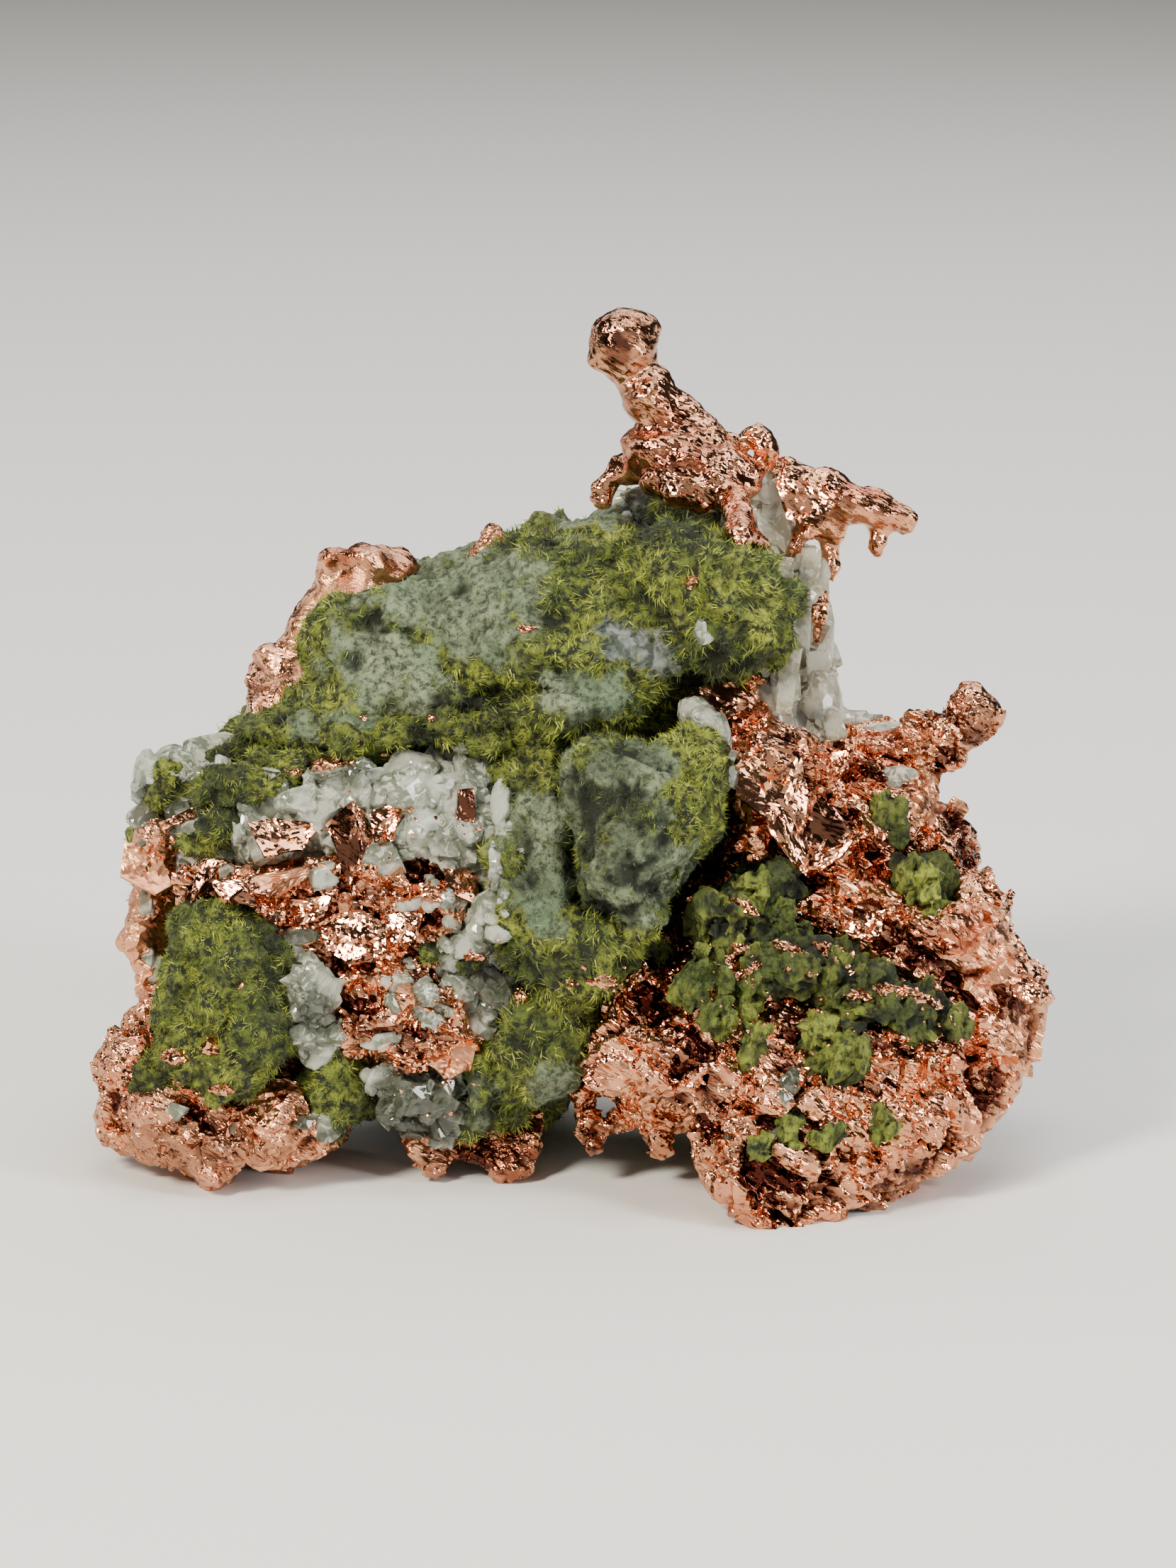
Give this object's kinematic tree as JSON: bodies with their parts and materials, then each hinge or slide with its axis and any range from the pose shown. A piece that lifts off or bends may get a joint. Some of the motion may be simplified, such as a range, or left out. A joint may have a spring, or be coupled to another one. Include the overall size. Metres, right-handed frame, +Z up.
{
  "type": "native copper specimen",
  "caption": "Natural native copper specimen: crinkled copper lobes, arms and a nodular crown grown through mossy green epidote rock with milky quartz and pale calcite crystals; stands on its feet.",
  "frame": {"origin": "on the surface the specimen stands on, under the middle of its bounding box", "axes": "X to the right and along the longest side, Y away from the viewer and along the shortest side, Z up, with the copper crown on top"},
  "size_m": [0.0805, 0.0508, 0.0698],
  "materials": {
    "copper": "bright crinkled native copper",
    "epidote": "fibrous, dull to silky",
    "nodule": "dull, finely pitted",
    "quartz": "milky, glassy on the breaks",
    "calcite": "cloudy, smooth cleavage faces"
  },
  "bodies": {
    "root": {"calcite_crystals_right": "calcite", "copper_arm_right": "copper", "copper_bridge_bottom": "copper", "copper_crown": "copper", "copper_fin_top": "copper", "copper_flap_bottom": "copper", "copper_hook_upper_right": "copper", "copper_mass_right": "copper", "copper_plate_left": "copper", "copper_ridge_upper_left": "copper", "copper_sheet_back": "copper", "copper_sheet_centre": "copper", "epidote_patch_left": "epidote", "epidote_tablet_right": "epidote", "epidote_tuft_left": "epidote", "epidote_vein_right": "epidote", "green_matrix_rock": "epidote", "green_nodule": "nodule", "quartz_grain_centre": "quartz", "quartz_mass_left": "quartz", "quartz_pod_back": "quartz", "quartz_shoulder_left": "quartz"}
  },
  "joints": []
}
